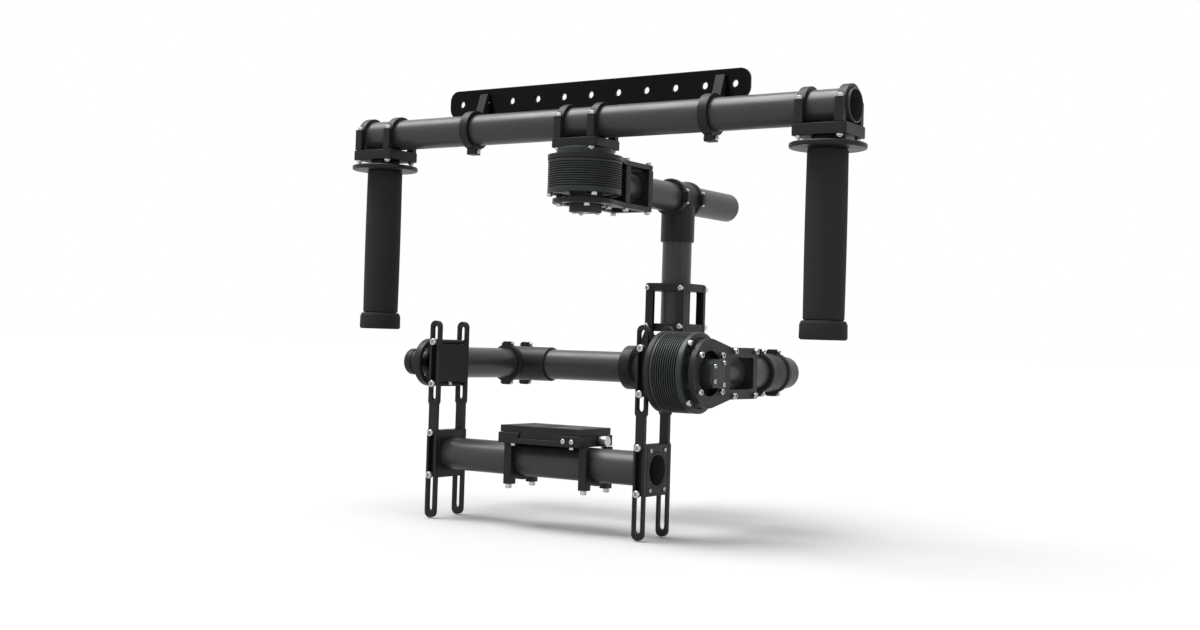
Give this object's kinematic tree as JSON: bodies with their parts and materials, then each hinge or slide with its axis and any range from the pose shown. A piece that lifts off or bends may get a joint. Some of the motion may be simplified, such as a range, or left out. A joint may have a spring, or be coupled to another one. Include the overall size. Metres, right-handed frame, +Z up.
{
  "type": "gimbal stabilizer",
  "caption": "Handheld camera gimbal: tubular handlebar with two grips and a rail, pan, roll and tilt motors on tube arms, and a slotted camera cage with a sliding plate.",
  "frame": {"origin": "centre of the handlebar tube, midway between the two grips", "axes": "+X along the handlebar to its right end, +Y from the camera cage back towards the roll motor, +Z up"},
  "size_m": [0.5574, 0.361, 0.4147],
  "materials": {
    "tube": "satin dark tube with a faint fibre weave",
    "anodised": "black anodised, fine bead-blasted",
    "motor": "dark grey-green anodised, turned",
    "rail": "smooth black coat",
    "grip": "matte fine-textured rubber",
    "steel": "bright socket-head screws"
  },
  "bodies": {
    "handlebar": {"pan_rotor": "motor", "handlebar_tube": "tube", "accessory_rail": "rail", "left_rail_clamp": "anodised", "right_rail_clamp": "anodised", "left_grip_base_plate": "anodised", "left_grip_outer_clamp": "anodised", "left_grip_inner_clamp": "anodised", "left_grip_collar": "anodised", "left_grip": "grip", "left_grip_end_cap": "grip", "right_grip_base_plate": "anodised", "right_grip_outer_clamp": "anodised", "right_grip_inner_clamp": "anodised", "right_grip_collar": "anodised", "right_grip": "grip", "right_grip_end_cap": "grip", "pan_base_plate": "anodised", "pan_left_clamp": "anodised", "pan_right_clamp": "anodised"},
    "pan_arm": {"pan_motor_housing": "motor", "pan_inner_plate": "anodised", "pan_outer_plate": "anodised", "pan_near_tube_clamp": "anodised", "pan_far_tube_clamp": "anodised", "pan_tube": "tube", "pan_tee": "anodised", "vertical_tube": "tube", "roll_motor_housing": "motor", "roll_inner_plate": "anodised", "roll_outer_plate": "anodised", "roll_near_tube_clamp": "anodised", "roll_far_tube_clamp": "anodised"},
    "roll_arm": {"roll_rotor_hub": "anodised", "crossbar_tube": "tube", "left_tee": "anodised", "right_tee": "anodised", "right_arm_tube": "tube", "left_arm_tube": "tube", "tilt_motor_housing": "motor", "tilt_inner_plate": "anodised", "tilt_outer_plate": "anodised", "tilt_near_tube_clamp": "anodised", "tilt_far_tube_clamp": "anodised", "left_tilt_bearing": "anodised"},
    "cage": {"tilt_rotor_block": "anodised", "left_pivot_block": "anodised", "left_front_upright": "anodised", "left_rear_upright": "anodised", "right_front_upright": "anodised", "right_rear_upright": "anodised", "left_lower_block": "anodised", "right_lower_block": "anodised", "cage_bottom_tube": "tube", "camera_base": "anodised", "left_plate_clamp": "anodised", "right_plate_clamp": "anodised"},
    "camera_plate": {"camera_plate": "anodised"},
    "plate_lock": {"plate_lock_screw": "steel"}
  },
  "joints": [
    {"name": "pan", "type": "hinge", "parent": "handlebar", "child": "pan_arm", "pos_m": [0, 0, -0.0536], "axis": [0, 0, 1], "range_deg": [-80, 80]},
    {"name": "roll", "type": "hinge", "parent": "pan_arm", "child": "roll_arm", "pos_m": [0, 0.174, -0.2274], "axis": [0, 1, 0], "range_deg": [-45, 45]},
    {"name": "tilt", "type": "hinge", "parent": "roll_arm", "child": "cage", "pos_m": [0.143, -0.048, -0.2274], "axis": [1, 0, 0], "range_deg": [-90, 60]},
    {"name": "plate_slide", "type": "slide", "parent": "cage", "child": "camera_plate", "axis": [0, 1, 0], "range_m": [-0.02, 0.015]},
    {"name": "plate_lock_turn", "type": "hinge", "parent": "cage", "child": "plate_lock", "pos_m": [0.052, -0.04, -0.2913], "axis": [1, 0, 0], "range_deg": [-180, 0]}
  ]
}
